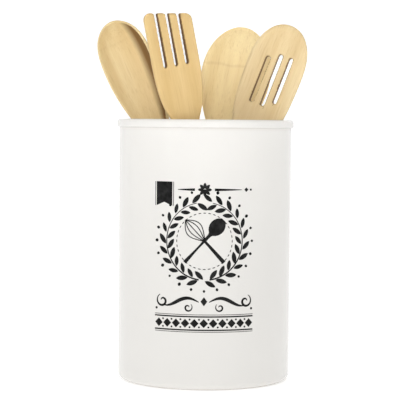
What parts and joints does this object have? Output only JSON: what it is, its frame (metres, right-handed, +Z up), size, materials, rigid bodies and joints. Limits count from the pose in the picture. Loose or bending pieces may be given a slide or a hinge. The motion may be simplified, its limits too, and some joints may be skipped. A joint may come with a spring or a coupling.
{
  "type": "utensil crock",
  "caption": "Round glazed ceramic crock with a rolled lip, holding bamboo spoons and a fork that lift out.",
  "frame": {"origin": "centre of the crock's flat foot ring, on the surface that it stands on", "axes": "+Z up along the crock's axis, the decorated side and the fork face -Y, +X to the viewer's right"},
  "size_m": [0.1446, 0.1212, 0.2472],
  "materials": {
    "glaze": "white gloss glaze with a bare stoneware foot ring",
    "bamboo": "fine sanded bamboo, lightly oiled"
  },
  "bodies": {
    "crock": {"crock": "glaze"},
    "solid_spoon": {"solid_spoon": "bamboo"},
    "fork": {"fork": "bamboo"},
    "mixing_spoon": {"mixing_spoon": "bamboo"},
    "slotted_spoon": {"slotted_spoon": "bamboo"}
  },
  "joints": [
    {"name": "solid_spoon_lift", "type": "slide", "parent": "crock", "child": "solid_spoon", "axis": [-0.405, 0.0269, 0.9139], "range_m": [0, 0.195]},
    {"name": "fork_lift", "type": "slide", "parent": "crock", "child": "fork", "axis": [-0.1895, -0.1474, 0.9707], "range_m": [0, 0.185]},
    {"name": "mixing_spoon_lift", "type": "slide", "parent": "crock", "child": "mixing_spoon", "axis": [0.1804, 0.109, 0.9775], "range_m": [0, 0.185]},
    {"name": "slotted_spoon_lift", "type": "slide", "parent": "crock", "child": "slotted_spoon", "axis": [0.3508, -0.0083, 0.9364], "range_m": [0, 0.19]}
  ]
}
